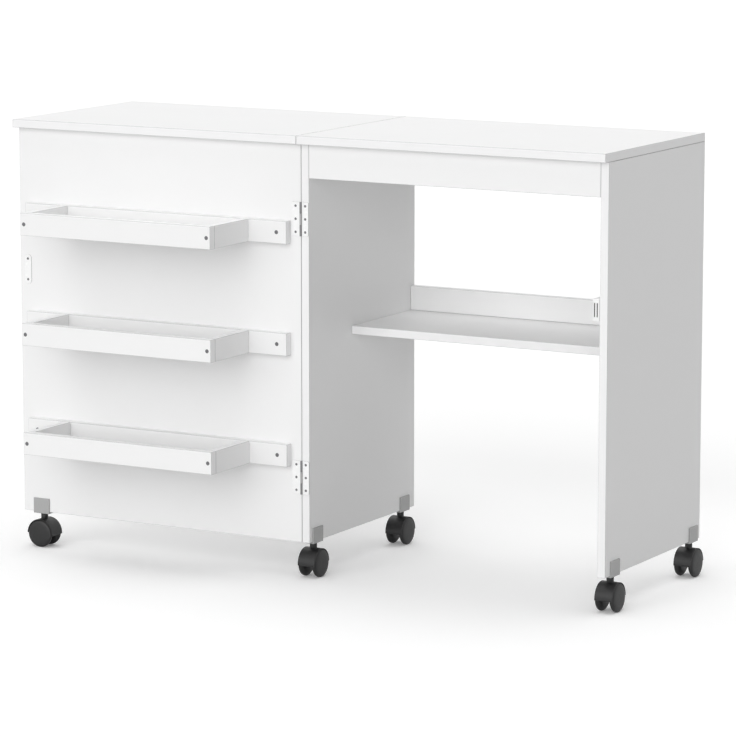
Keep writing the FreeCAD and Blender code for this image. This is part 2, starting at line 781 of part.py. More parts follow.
def trays():
    """Three trays on the door; returns the holes that their mounting screws need in the door."""
    frame_screws = []
    mount_screws = []
    door_holes = []
    sides = []
    floors = []
    for step, level in enumerate(("upper", "middle", "lower")):
        name = f"{level}_tray"
        bottom = f"panel_top - tray_drop - {step} * tray_pitch - tray_height"
        middle = f"{bottom} + tray_height / 2"
        groove = tray_groove(name, bottom)
        floors.append(tray_floor(name, bottom))
        front_holes = []
        back_holes = []
        side_bores = {"left": [], "right": []}
        for hand, x in (("left", "tray_left + tray_board / 2"), ("right", "tray_right - tray_board / 2")):
            for place, y, direction, own in (("front", "tray_front", BACK, front_holes),
                                             ("back", "panel_front", FRONT, back_holes)):
                made, hole = screw(f"{name}_{hand}_{place}_screw", "board", "tray_frame_screw_length",
                                   (x, y, middle), direction)
                frame_screws.append(made)
                own.append(hole)
                side_bores[hand].append(hole)
        for hand, sign in (("left", "-"), ("right", "+")):
            mount_x = f"door_middle {sign} (tray_back_length / 2 - tray_mount_inset)"
            made, hole = screw(f"{name}_{hand}_mount_screw", "board", "tray_mount_screw_length",
                               (mount_x, "panel_front - tray_board", middle), BACK)
            mount_screws.append(made)
            back_holes.append(hole)
            door_holes.append(hole)
        front = box(name + "_front", ("tray_width", "tray_board", "tray_height"),
                    ("tray_left", "tray_front", bottom))
        back = box(name + "_back", ("tray_back_length", "tray_board", "tray_height"),
                   ("door_middle - tray_back_length / 2", "panel_front - tray_board", bottom))
        node(name + "_front_board", cut(name + "_front_cut", front, [groove] + front_holes))
        node(name + "_back_board", cut(name + "_back_cut", back, [groove] + back_holes))
        for hand, x in (("left", "tray_left"), ("right", "tray_right - tray_board")):
            side = box(f"{name}_{hand}", ("tray_board", "tray_side_length", "tray_height"),
                       (x, "tray_front + tray_board", bottom))
            sides.append(cut(f"{name}_{hand}_cut", side, [groove] + side_bores[hand]))
    node("tray_sides", group("tray_side_set", sides))
    node("tray_floors", group("tray_floor_set", floors))
    node("tray_frame_screws", group("tray_frame_screw_set", frame_screws))
    node("tray_mount_screws", group("tray_mount_screw_set", mount_screws))
    return door_holes


def tray_groove(name, bottom):
    """The room that the floor's groove takes out of a tray's four boards."""
    return box(name + "_groove",
               ("tray_width - 2 * tray_board + 2 * tray_groove_depth",
                "tray_side_length + 2 * tray_groove_depth",
                "tray_floor_thickness + tray_groove_clearance"),
               ("tray_left + tray_board - tray_groove_depth",
                "tray_front + tray_board - tray_groove_depth",
                f"{bottom} + tray_floor_lift"))


def tray_floor(name, bottom):
    """A thin floor that rests in the groove."""
    bite = "(tray_groove_depth - tray_floor_end_gap)"
    return box(name + "_floor",
               (f"tray_width - 2 * tray_board + 2 * {bite}", f"tray_side_length + 2 * {bite}",
                "tray_floor_thickness"),
               (f"tray_left + tray_board - {bite}", f"tray_front + tray_board - {bite}",
                f"{bottom} + tray_floor_lift"))


# Casters

class CasterSpot:
    """Where a caster stands, which board carries it and how it is turned: the door's lies across."""

    def __init__(self, name, board, x, y):
        self.name = name
        self.board = board
        self.x = x
        self.y = y
        self.on_door = board == "door"
        self.turn = FreeCAD.Rotation(UP, QUARTER_TURN if self.on_door else 0)

        self.axle_direction = BACK if self.on_door else RIGHT


def caster_spots():
    right_x = "top_right - panel_thickness / 2"
    left_x = "left_outer + panel_thickness / 2"
    front_y = "panel_front + caster_front_inset"
    rear_y = "back_y - caster_rear_inset"
    return [
        CasterSpot("right_front", "right", right_x, front_y),
        CasterSpot("right_rear", "right", right_x, rear_y),
        CasterSpot("left_front", "left", left_x, f"{front_y} - left_caster_shift"),
        CasterSpot("left_rear", "left", left_x, f"{rear_y} - left_caster_shift"),
        CasterSpot("door", "door", "door_left + door_caster_inset", "panel_front + door_thickness / 2"),
    ]


def bracket(spot):
    """An angle plate under the board's edge and up its face, its screws, the stem and their holes."""
    name = spot.name + "_bracket"
    board = "door_thickness" if spot.on_door else "panel_thickness"
    body = new_body(name + "_angle")
    sketch = sketch_on(body, name + "_outline", "XZ_Plane")
    far = f"{board} + bracket_thickness"
    top = "bracket_thickness + bracket_height"
    draw_outline(sketch, [("0", "0"), (far, "0"), (far, top), (board, top),
                          (board, "bracket_thickness"), ("0", "bracket_thickness")])
    pad(body, name + "_pad", sketch, "bracket_width")
    if spot.on_door:
        along = RIGHT
        corner = (f"{spot.x} + bracket_width / 2", f"{spot.y} + {board} / 2", "flange_bottom")
        put(body, corner, FreeCAD.Rotation(UP, -QUARTER_TURN))
    else:
        along = BACK
        corner = (f"{spot.x} - {board} / 2", f"{spot.y} + bracket_width / 2", "flange_bottom")
        put(body, corner)
    made = [
        screw(f"{name}_screw_{step}", "plate", "bracket_screw_length",
              toward((spot.x, spot.y, "flange_bottom"), along, f"{sign}bracket_screw_spacing / 2"), UP)
        for step, sign in enumerate(("", "-"))
    ]
    stem, stem_bore = pin_and_bore(spot.name + "_stem", "stem_radius", "stem_length",
                                   (spot.x, spot.y, "axle_z + boss_lift + hood_wall"), UP)
    holes = [pair[1] for pair in made] + [stem_bore]
    return cut(name, body, holes), [pair[0] for pair in made], stem, holes, stem_bore


def hood(spot, stem_bore):
    """The hood: a band over both wheels, a web between them and a boss that turns on the stem."""
    name = spot.name + "_hood"
    body = new_body(name + "_body")
    half = "hood_width / 2"
    band = sketch_on(body, name + "_band", "XY_Plane")
    draw_outline(band, [(f"-{half}", "hood_inner"), (half, "hood_inner"), (half, "hood_outer"),
                        (f"-{half}", "hood_outer")])
    revolve(body, name + "_sweep", band, HOOD_SWEEP)
    web = sketch_on(body, name + "_web", "YZ_Plane", "-web_thickness / 2")
    draw_half_disc(web, "(hood_inner + hood_outer) / 2")
    pad(body, name + "_web_pad", web, "web_thickness")
    hub = sketch_on(body, name + "_hub", "YZ_Plane", "-hub_length / 2")
    draw_circle(hub, ("0", "0"), "hub_radius")
    pad(body, name + "_hub_pad", hub, "hub_length")
    boss = sketch_on(body, name + "_boss", "XY_Plane", "boss_lift")
    draw_circle(boss, ("0", "0"), "neck_radius")
    pad(body, name + "_boss_pad", boss, "neck_top - boss_lift")
    axle_hole = sketch_on(body, name + "_axle_hole", "YZ_Plane", "hub_length")
    draw_circle(axle_hole, ("0", "0"), "axle_radius + bore_clearance")
    pocket(body, name + "_axle_bore", axle_hole, "2 * hub_length")
    put(body, (spot.x, spot.y, "axle_z"), spot.turn)
    return cut(name, body, [stem_bore])


def wheel(name, spot, turned):
    """One wheel with a closed, slightly domed outer face, turned to its own side of the hood."""
    body = new_body(name)
    rim_out = "hood_width / 2"
    outer = "caster_width / 2"
    hole = "axle_radius + bore_clearance"
    axle_end = "caster_width / 2 - axle_end_cover"
    sketch = sketch_on(body, name + "_profile", "XY_Plane")
    draw_outline(sketch, [
        ("wheel_inner", hole),
        ("wheel_inner", "wheel_radius - wheel_bevel"),
        ("wheel_inner + wheel_bevel", "wheel_radius"),
        (f"{rim_out} - wheel_bevel", "wheel_radius"),
        (rim_out, "wheel_radius - wheel_bevel"),
        (outer, "wheel_face_radius"),
        (outer, "0"),
        (axle_end, "0"),
        (axle_end, hole),
    ])
    revolve(body, name + "_turned", sketch, FULL_TURN)
    put(body, (spot.x, spot.y, "axle_z"), spot.turn * FreeCAD.Rotation(UP, turned))
    return body


def casters():
    """All five casters with their brackets; returns the holes that each board needs."""
    holes = {"left": [], "right": [], "door": []}
    brackets = []
    screws = []
    stems = []
    for spot in caster_spots():
        plate, plate_screws, stem, board_holes, stem_bore = bracket(spot)
        holes[spot.board] += board_holes
        if spot.on_door:
            node("door_caster_bracket", plate)
            node("door_bracket_screws", group("door_bracket_screw_set", plate_screws))
            node("door_caster_stem", stem)
        else:
            brackets.append(plate)
            screws += plate_screws
            stems.append(stem)
        node(f"{spot.name}_caster_hood", hood(spot, stem_bore))
        axle_start = toward((spot.x, spot.y, "axle_z"), spot.axle_direction, "-(axle_length / 2)")
        node(f"{spot.name}_caster_axle",
             cylinder(f"{spot.name}_axle", "axle_radius", "axle_length", axle_start, spot.axle_direction))
        pair = [wheel(f"{spot.name}_wheel_a", spot, 0), wheel(f"{spot.name}_wheel_b", spot, HALF_TURN)]
        node(f"{spot.name}_caster_wheels", group(f"{spot.name}_wheel_set", pair))
    node("side_caster_brackets", group("bracket_set", brackets))
    node("side_bracket_screws", group("bracket_screw_set", screws))
    node("side_caster_stems", group("stem_set", stems))
    return holes


def door(holes):
    board = box("door_board", ("door_width", "door_thickness", "door_height"),
                ("door_left", "panel_front", "caster_height"))
    node("door_panel", cut("door_panel_cut", board, holes))


# Checks and files

def check_model():
    """Stop if any object failed, any cut removed nothing or any piece has no sound shape."""
    for item in doc.Objects:
        if "Invalid" in item.State or "Error" in item.State:
            raise RuntimeError(f"{item.Label} failed: {item.State}")
        before = None
        if item.TypeId == "Part::Cut":
            before = item.Base.Shape
        if item.TypeId == "PartDesign::Pocket":
            before = item.BaseFeature.Shape
        if before is not None and item.Shape.Volume >= before.Volume:
            raise RuntimeError(f"{item.Label} cut nothing")
    for item in nodes:
        if item.Shape.isNull() or not item.Shape.isValid():
            raise RuntimeError(f"{item.Label} has no sound shape")


def write_parts():
    os.makedirs("parts", exist_ok=True)
    for item in nodes:
        item.Shape.exportStep(f"parts/{item.Label}.step")


def main():
    make_sheet()
    carcass = carcass_joints()
    leaf_holes = leaf_hinge()
    worktop(carcass, leaf_holes)
    hinge_holes = door_hinges()
    catch_holes = magnetic_catch()
    strike_holes = strike()
    mount_holes = trays()
    caster_holes = casters()
    cabinet(carcass, {
        "left": hinge_holes["panel"] + caster_holes["left"],
        "right": catch_holes + caster_holes["right"],
    })
    door(hinge_holes["door"] + strike_holes + mount_holes + caster_holes["door"])
    doc.recompute()
    check_model()
    write_parts()
    print(len(nodes), "pieces written")


main()
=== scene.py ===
import json
import math

import bmesh
import bpy
from bpy.props import FloatProperty, FloatVectorProperty, IntProperty, PointerProperty
from mathutils import Matrix, Vector


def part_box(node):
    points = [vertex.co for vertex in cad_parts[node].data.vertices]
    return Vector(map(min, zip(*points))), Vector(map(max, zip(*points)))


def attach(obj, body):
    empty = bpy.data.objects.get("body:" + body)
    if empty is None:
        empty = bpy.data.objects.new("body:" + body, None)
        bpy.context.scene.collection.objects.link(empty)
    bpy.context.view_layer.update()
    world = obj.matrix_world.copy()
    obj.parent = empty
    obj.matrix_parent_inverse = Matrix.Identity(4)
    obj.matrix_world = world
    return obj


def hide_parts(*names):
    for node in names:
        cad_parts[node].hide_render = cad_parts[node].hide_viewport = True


bl_info = {
    "name": "Folding sewing table",
    "version": (1, 0, 0),
    "blender": (4, 5, 0),
    "location": "3D View > Sidebar > Sewing table",
    "description": "Dresses the folding sewing and cutting table in its boards, fittings and studio",
    "category": "Object",
}

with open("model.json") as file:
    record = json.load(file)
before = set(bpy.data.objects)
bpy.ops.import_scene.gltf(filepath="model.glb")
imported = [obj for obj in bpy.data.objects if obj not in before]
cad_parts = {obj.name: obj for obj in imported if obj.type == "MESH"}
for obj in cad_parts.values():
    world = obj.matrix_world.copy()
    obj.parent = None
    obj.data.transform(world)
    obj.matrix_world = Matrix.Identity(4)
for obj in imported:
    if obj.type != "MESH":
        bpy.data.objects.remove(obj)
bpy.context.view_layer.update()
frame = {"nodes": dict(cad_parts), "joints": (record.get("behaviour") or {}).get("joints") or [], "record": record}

BODY_OF = {node: body for body, nodes in frame["record"]["behaviour"]["bodies"].items() for node in nodes}
JOINTS = {joint["name"]: joint for joint in frame["joints"]}

LEVELS = ("upper", "middle", "lower")
SPOTS = ("right_front", "right_rear", "left_front", "left_rear", "door")
CABINET_BOARDS = (
    "left_side_panel",
    "right_side_panel",
    "front_apron",
    "rear_apron",
    "shelf",
    "shelf_back_rail",
)
SCREW_SETS = (
    "door_hinge_panel_screws",
    "door_hinge_door_screws",
    "leaf_hinge_top_screws",
    "leaf_hinge_leaf_screws",
    "catch_screws",
    "strike_plate_screws",
    "tray_frame_screws",
    "tray_mount_screws",
    "side_bracket_screws",
    "door_bracket_screws",
)

# Which ends of a board meet another board, 1 for each axis, at its low and its high corner
MET_ENDS = {
    "left_side_panel": ((0, 0, 0), (0, 0, 1)),
    "right_side_panel": ((0, 0, 0), (0, 0, 1)),
    "front_apron": ((1, 0, 0), (1, 0, 1)),
    "rear_apron": ((1, 0, 0), (1, 0, 1)),
    "shelf": ((1, 0, 0), (1, 0, 0)),
    "shelf_back_rail": ((1, 0, 1), (1, 0, 0)),
}
TRAY_SIDE_ENDS = (0, 1, 0)

# Materials of a board's mesh, in their order
FACE, BAND, GLUE_LINE = range(3)
# Materials of a hinge plate's or strike plate's mesh, in their order; the cut edge's dark grey is partly a painted
# shadow line
ENAMEL, CUT_EDGE_AND_SHADOW, KNUCKLE = range(3)

# Points nearer than WELD are one point, and levels nearer than LEVEL are one level, in metres
WELD = 2e-6
LEVEL = 2e-5
# Edges that turn by more than SHARP are sharp, and faces that turn by less than FLAT are one face
SHARP = math.radians(32)
FLAT = math.radians(0.05)
# A face looks along an axis if its normal has more than this share along it
FACING = 0.5
# Faces across a rounded edge of a plate or moulding
PLATE_SEGMENTS = 2

# Rings of a fastener's crown: how far inside its rim and how high, as shares of the crown's height
CROWN = ((1.6, 1.0), (0.5, 0.75), (0.0, 0.0))
# What a fastener's tip takes off its radius, as a share of the tip's length
TIP_FALL = 0.8
# A cam's tip as a share of its depth
CAM_TIP = 0.05
FASTENER_SIDES = 32

WHITE = (1.0, 1.0, 1.0, 1.0)
# Sockets, by number, of a Mix node for colours and of a Random Value node for single values
MIX_SHARE, MIX_FIRST, MIX_SECOND, MIX_RESULT = 0, 6, 7, 2
RANDOM_MOST, RANDOM_RESULT = 3, 1


# Settings


def length(name, description, default):
    """A setting in metres."""
    return FloatProperty(
        name=name, description=description, default=default, unit="LENGTH", subtype="DISTANCE", precision=5
    )


def number(name, description, default):
    """A setting without a unit."""
    return FloatProperty(name=name, description=description, default=default)


def angle(name, description, degrees):
    """A setting of an angle, given in degrees and kept in radians."""
    return FloatProperty(
        name=name, description=description, default=math.radians(degrees), unit="ROTATION", subtype="ANGLE"
    )


def colour(name, description, default):
    """A setting of a linear colour."""
    return FloatVectorProperty(
        name=name, description=description, default=default, size=3, subtype="COLOR", min=0.0, max=1.0
    )


def direction(name, description, default):
    """A setting of a direction, of any length."""
    return FloatVectorProperty(name=name, description=description, default=default, subtype="XYZ")


class BoardSettings(bpy.types.PropertyGroup):
    """White boards and their edges"""

    edge_round: length("Edge rounding", "Radius of the banded edges of every board", 0.0006)
    joint_gap: length("Joint gap", "Hairline between boards that meet", 0.00025)
    edge_segments: IntProperty(name="Edge segments", description="Faces across a rounded edge", default=3)
    face_colour: colour("Face", "Colour of the coated faces", (0.865, 0.865, 0.865))
    band_colour: colour("Banding", "Colour of the banded edges", (0.865, 0.865, 0.868))
    glue_colour: colour("Glue line", "Colour of the fine line between face and banding", (0.56, 0.56, 0.565))
    floor_colour: colour("Tray floor", "Colour of the thin tray floors", (0.84, 0.84, 0.84))


class FittingSettings(bpy.types.PropertyGroup):
    """Hinges, catch, brackets and screws"""

    plate_round: length("Plate rounding", "Radius of the edges of pressed plates", 0.00025)
    bracket_round: length("Bracket rounding", "Radius of the edges of the caster brackets", 0.0007)
    head_proud: length("Head height", "How far a screw head stands above what it holds", 0.00018)
    recess_share: number("Recess", "Length of a cross recess as a share of the head's width", 0.62)
    slot_share: number("Slot", "Width of a cross recess as a share of its length", 0.24)
    enamel_colour: colour("Enamel", "Colour of hinge plates and strike plate", (0.92, 0.92, 0.92))
    # Dark grey of the plates' cut edges: partly bare steel, partly a painted shadow line round the plates
    edge_colour: colour("Cut edge", "Colour of the bare edges of pressed plates", (0.3, 0.3, 0.305))
    knuckle_colour: colour("Knuckle", "Colour of the hinge knuckles", (0.2, 0.2, 0.205))
    bracket_colour: colour("Bracket", "Colour of the caster brackets", (0.36, 0.36, 0.36))
    # Dark grey of the screws: zinc, darkened further as painted shade of the recesses they sit in
    screw_colour: colour("Screw", "Colour of the screws", (0.17, 0.17, 0.175))
    pole_colour: colour("Pole", "Colour of the catch's pole bars", (0.08, 0.08, 0.082))
    catch_colour: colour("Catch", "Colour of the catch's housing", (0.9, 0.9, 0.9))


class CasterSettings(bpy.types.PropertyGroup):
    """Twin-wheel casters"""

    moulding_round: length("Moulding rounding", "Radius of the edges of the hoods", 0.0006)
    squareness: number("Squareness", "Power of the wheel's outer profile: small is square, 1 is round", 0.45)
    inner_fall: number("Inner fall", "Share of its radius that a wheel loses towards its inner face", 0.34)
    inner_power: number("Inner power", "Power of the wheel's inner profile: 1 is round, 2 is straight", 1.4)
    wheel_sides: IntProperty(name="Wheel sides", description="Faces round a wheel", default=72)
    wheel_rings: IntProperty(name="Wheel rings", description="Faces across a wheel's profile", default=24)
    plastic_colour: colour("Plastic", "Colour of hoods and wheels", (0.0085, 0.0085, 0.0088))


class StageSettings(bpy.types.PropertyGroup):
    """Floor, light and camera"""

    floor_size: length("Floor", "Side of the floor", 160.0)
    floor_colour: colour("Floor colour", "Colour of the floor", (0.97, 0.97, 0.97))
    floor_bounce: colour("Floor bounce", "Colour of the light that it throws back", (0.64, 0.64, 0.64))
    floor_glow: number("Floor glow", "What the floor shows of its own, so that it reaches white", 0.12)
    ambient: number("Ambient", "Strength of the even light", 0.2)
    softness: angle("Softness", "Angular width of the lamps", 80)
    front_strength: number("Front lamp", "Strength of the low lamp in front", 3.05)
    front_from: direction("Front from", "Direction towards the front lamp", (0.08, -1.0, 0.1))
    top_strength: number("Top lamp", "Strength of the lamp overhead", 1.78)
    top_from: direction("Top from", "Direction towards the top lamp", (-0.07, 0.13, 1.0))
    lens: FloatProperty(name="Lens", description="Focal length", default=186.06, unit="CAMERA")
    camera_place: FloatVectorProperty(
        name="Camera", description="Where the camera stands", default=(3.33866, -5.79689, 1.46850),
        subtype="TRANSLATION", unit="LENGTH",
    )
    camera_pitch: angle("Pitch", "How far the camera looks down", 9.403)
    camera_yaw: angle("Yaw", "How far the camera is turned about the upright", 29.476)


SETTINGS = {
    "table_boards": BoardSettings,
    "table_fittings": FittingSettings,
    "table_casters": CasterSettings,
    "table_stage": StageSettings,
}


# Finishes


class Finish:
    """A material with one Principled shader, and builders for its noise, tone, polish and relief."""

    def __init__(self, name, roughness, metallic=0.0, specular=0.5):
        self.material = bpy.data.materials.new(name)
        self.material.use_nodes = True
        self.tree = self.material.node_tree
        self.shader = next(node for node in self.tree.nodes if node.type == "BSDF_PRINCIPLED")
        self.shader.inputs["Roughness"].default_value = roughness
        self.shader.inputs["Metallic"].default_value = metallic
        self.shader.inputs["Specular IOR Level"].default_value = specular
        self.places = self.tree.nodes.new("ShaderNodeTexCoord").outputs["Object"]

    def link(self, start, end):
        self.tree.links.new(start, end)

    def noise(self, size, detail=2.0, stretch=(1.0, 1.0, 1.0)):
        """Noise with features about size metres wide, drawn out along an axis whose stretch is below 1."""
        mapping = self.tree.nodes.new("ShaderNodeMapping")
        mapping.inputs["Scale"].default_value = stretch
        self.link(self.places, mapping.inputs["Vector"])
        noise = self.tree.nodes.new("ShaderNodeTexNoise")
        noise.inputs["Scale"].default_value = 1.0 / size
        noise.inputs["Detail"].default_value = detail
        self.link(mapping.outputs["Vector"], noise.inputs["Vector"])
        return noise.outputs[0]

    def tone(self, pattern, dark, light):
        """Colour that runs from dark to light with a pattern."""
        mix = self.tree.nodes.new("ShaderNodeMix")
        mix.data_type = "RGBA"
        mix.inputs[MIX_FIRST].default_value = (*dark, 1.0)
        mix.inputs[MIX_SECOND].default_value = (*light, 1.0)
        self.link(pattern, mix.inputs[MIX_SHARE])
        self.link(mix.outputs[MIX_RESULT], self.shader.inputs["Base Color"])

    def polish(self, pattern, low, high):
        """Roughness that runs from low to high with a pattern."""
        spread = self.tree.nodes.new("ShaderNodeMapRange")
        spread.inputs["To Min"].default_value = low
        spread.inputs["To Max"].default_value = high
        self.link(pattern, spread.inputs["Value"])
        self.link(spread.outputs["Result"], self.shader.inputs["Roughness"])

    def relief(self, pattern, height):
        """Fine bumps of a height in metres."""
        bump = self.tree.nodes.new("ShaderNodeBump")
        bump.inputs["Distance"].default_value = height
        self.link(pattern, bump.inputs["Height"])
        self.link(bump.outputs["Normal"], self.shader.inputs["Normal"])


def near(base, share):
    """A colour a little above or below another."""
    return tuple(min(1.0, channel * share) for channel in base)


def once(make):
    """Make a finish when it is first asked for, and find it again after that."""
    def find():
        return bpy.data.materials.get(make.__name__) or make(make.__name__)
    return find


@once
def coated_board(name):
    """White coated board: a fine pebbled grain, with a faint drift in tone and sheen."""
    look = bpy.context.scene.table_boards
    finish = Finish(name, 0.45, specular=0.35)
    finish.tone(finish.noise(0.11, 3.0), near(look.face_colour, 0.992), near(look.face_colour, 1.004))
    finish.polish(finish.noise(0.03, 4.0), 0.4, 0.52)
    finish.relief(finish.noise(0.0009, 3.0), 0.000012)
    return finish.material


@once
def banded_edge(name):
    """Thin plastic banding on the boards' edges, smoother than their faces."""
    look = bpy.context.scene.table_boards
    finish = Finish(name, 0.36, specular=0.4)
    finish.tone(finish.noise(0.05, 2.0), near(look.band_colour, 0.985), look.band_colour)
    finish.polish(finish.noise(0.012, 3.0), 0.3, 0.42)
    finish.relief(finish.noise(0.0022, 2.0), 0.000008)
    return finish.material


@once
def glue_line(name):
    """The fine grey line along every arris, where the banding meets the face."""
    look = bpy.context.scene.table_boards
    finish = Finish(name, 0.5, specular=0.3)
    finish.tone(finish.noise(0.02, 3.0), near(look.glue_colour, 0.9), near(look.glue_colour, 1.1))
    finish.polish(finish.noise(0.008, 2.0), 0.42, 0.58)
    return finish.material


@once
def tray_base(name):
    """Painted hardboard of the tray floors, with a felted grain."""
    look = bpy.context.scene.table_boards
    finish = Finish(name, 0.55, specular=0.3)
    finish.tone(finish.noise(0.006, 5.0), near(look.floor_colour, 0.975), look.floor_colour)
    finish.polish(finish.noise(0.01, 3.0), 0.48, 0.62)
    finish.relief(finish.noise(0.0014, 4.0), 0.00003)
    return finish.material


@once
def white_enamel(name):
    """Baked white enamel on pressed steel: glossy, with a slight orange peel."""
    look = bpy.context.scene.table_fittings
    finish = Finish(name, 0.25)
    finish.tone(finish.noise(0.008, 2.0), near(look.enamel_colour, 0.985), look.enamel_colour)
    finish.polish(finish.noise(0.004, 2.0), 0.2, 0.32)
    finish.relief(finish.noise(0.0012, 1.0), 0.000008)
    return finish.material


@once
def cut_steel(name):
    """Bare cut edges of the pressed plates, with fine shear marks, dark grey partly as a painted shadow line round
    the plates.
    """
    look = bpy.context.scene.table_fittings
    finish = Finish(name, 0.5, metallic=0.3)
    sheared = finish.noise(0.0004, 2.0)
    finish.tone(sheared, near(look.edge_colour, 0.85), near(look.edge_colour, 1.1))
    finish.polish(sheared, 0.42, 0.58)
    finish.relief(sheared, 0.000008)
    return finish.material


@once
def knuckle_steel(name):
    """Dark grey steel of the hinges' pins and of the knuckles on the panel's side."""
    look = bpy.context.scene.table_fittings
    finish = Finish(name, 0.42, metallic=0.55)
    finish.tone(finish.noise(0.002, 3.0), near(look.knuckle_colour, 0.8), near(look.knuckle_colour, 1.15))
    finish.polish(finish.noise(0.003, 2.0), 0.35, 0.5)
    finish.relief(finish.noise(0.0004, 2.0), 0.000006)
    return finish.material


@once
def satin_plate(name):
    """Satin plated steel of the caster brackets and of the hinges' door knuckles, brushed upright."""
    look = bpy.context.scene.table_fittings
    finish = Finish(name, 0.42, metallic=0.35)
    brushed = finish.noise(0.0006, 3.0, stretch=(1.0, 1.0, 0.05))
    finish.tone(brushed, near(look.bracket_colour, 0.9), near(look.bracket_colour, 1.08))
    finish.polish(finish.noise(0.005, 3.0), 0.36, 0.5)
    finish.relief(brushed, 0.000006)
    return finish.material


@once
def zinc_screw(name):
    """Zinc plated screws with a cloudy passivated sheen, darkened as painted shade of the holes they sit in."""
    look = bpy.context.scene.table_fittings
    finish = Finish(name, 0.4, metallic=0.6)
    finish.tone(finish.noise(0.0012, 3.0), near(look.screw_colour, 0.82), near(look.screw_colour, 1.15))
    finish.polish(finish.noise(0.001, 2.0), 0.32, 0.5)
    finish.relief(finish.noise(0.0003, 2.0), 0.000006)
    return finish.material


@once
def pole_iron(name):
    """Dark iron of the catch's pole bars, with a ground face."""
    look = bpy.context.scene.table_fittings
    finish = Finish(name, 0.45, metallic=0.4)
    ground = finish.noise(0.0005, 2.0, stretch=(1.0, 1.0, 0.08))
    finish.tone(ground, near(look.pole_colour, 0.85), near(look.pole_colour, 1.15))
    finish.polish(ground, 0.38, 0.52)
    finish.relief(ground, 0.000005)
    return finish.material


@once
def moulded_white(name):
    """White moulded plastic of the catch's housing."""
    look = bpy.context.scene.table_fittings
    finish = Finish(name, 0.4)
    finish.tone(finish.noise(0.006, 2.0), near(look.catch_colour, 0.985), look.catch_colour)
    finish.polish(finish.noise(0.003, 2.0), 0.34, 0.46)
    finish.relief(finish.noise(0.0006, 2.0), 0.00001)
    return finish.material


@once
def moulded_black(name):
    """Black moulded plastic of the casters: a fine spark-eroded grain and a soft sheen."""
    look = bpy.context.scene.table_casters
    finish = Finish(name, 0.45, specular=0.4)
    finish.tone(finish.noise(0.01, 3.0), near(look.plastic_colour, 0.9), near(look.plastic_colour, 1.2))
    finish.polish(finish.noise(0.006, 3.0), 0.4, 0.52)
    finish.relief(finish.noise(0.0007, 3.0), 0.00002)
    return finish.material


@once
def bright_steel(name):
    """Bright drawn steel of the stems and axles."""
    finish = Finish(name, 0.3, metallic=1.0)
    drawn = finish.noise(0.0006, 2.0, stretch=(1.0, 1.0, 0.05))
    finish.tone(drawn, (0.48, 0.48, 0.49), (0.6, 0.6, 0.61))
    finish.polish(drawn, 0.24, 0.36)
    finish.relief(drawn, 0.000004)
    return finish.material


@once
def cast_zinc(name):
    """Grey cast zinc of the cam locks and their bolts, with a pitted skin."""
    finish = Finish(name, 0.5, metallic=0.7)
    finish.tone(finish.noise(0.002, 4.0), (0.42, 0.42, 0.43), (0.58, 0.58, 0.59))
    finish.polish(finish.noise(0.0015, 3.0), 0.42, 0.6)
    finish.relief(finish.noise(0.0005, 3.0), 0.00002)
    return finish.material


@once
def bare_beech(name):
    """Beech dowels with short dark flecks along the grain."""
    finish = Finish(name, 0.7, specular=0.25)
    flecks = finish.noise(0.0011, 4.0, stretch=(0.2, 1.0, 0.2))
    finish.tone(flecks, (0.5, 0.34, 0.2), (0.76, 0.58, 0.38))
    finish.polish(flecks, 0.6, 0.8)
    finish.relief(flecks, 0.00004)
    return finish.material


# Meshes


def corners(points):
    """Lowest and highest corner of some points."""
    low = Vector(min(point[axis] for point in points) for axis in range(3))
    high = Vector(max(point[axis] for point in points) for axis in range(3))
    return low, high


def welded(node):
    """A CAD node's triangles as one welded mesh to work on."""
    work = bmesh.new()
    work.from_mesh(frame["nodes"][node].data)
    bmesh.ops.remove_doubles(work, verts=work.verts, dist=WELD)
    return work


def solids_of(node):
    """The points of each separate solid of a CAD node."""
    work = welded(node)
    found = []
    seen = set()
    for first in work.verts:
        if first in seen:
            continue
        seen.add(first)
        waiting = [first]
        points = []
        while waiting:
            vert = waiting.pop()
            points.append(vert.co.copy())
            for edge in vert.link_edges:
                other = edge.other_vert(vert)
                if other not in seen:
                    seen.add(other)
                    waiting.append(other)
        found.append(points)
    work.free()
    return found


def finished(work, name, materials):
    """Turn a working mesh into a smooth-shaded one with its materials."""
    mesh = bpy.data.meshes.new(name)
    work.to_mesh(mesh)
    work.free()
    for material in materials:
        mesh.materials.append(material)
    mesh.shade_smooth()
    return mesh


def evaluated(item):
    """The mesh that an object's modifiers give, as a plain mesh."""
    bpy.context.view_layer.update()
    return bpy.data.meshes.new_from_object(item.evaluated_get(bpy.context.evaluated_depsgraph_get()))


def modified(mesh, kind, **settings):
    """The mesh that one modifier makes of another."""
    item = bpy.data.objects.new(mesh.name, mesh)
    bpy.context.scene.collection.objects.link(item)
    modifier = item.modifiers.new(kind, kind)
    for name, value in settings.items():
        setattr(modifier, name, value)
    made = evaluated(item)
    bpy.data.objects.remove(item)
    return made


def rounded(mesh, width, segments, band=-1, limit="ANGLE"):
    """The mesh with its sharp edges rounded, or those with a weight, and its flat faces kept flat."""
    return modified(
        mesh, "BEVEL", width=width, segments=segments, limit_method=limit, angle_limit=SHARP,
        harden_normals=True, use_clamp_overlap=False, material=band,
    )


def flattened(mesh):
    """The mesh with its broad faces shaded flat up to its sharp edges."""
    return modified(mesh, "WEIGHTED_NORMAL", keep_sharp=True)


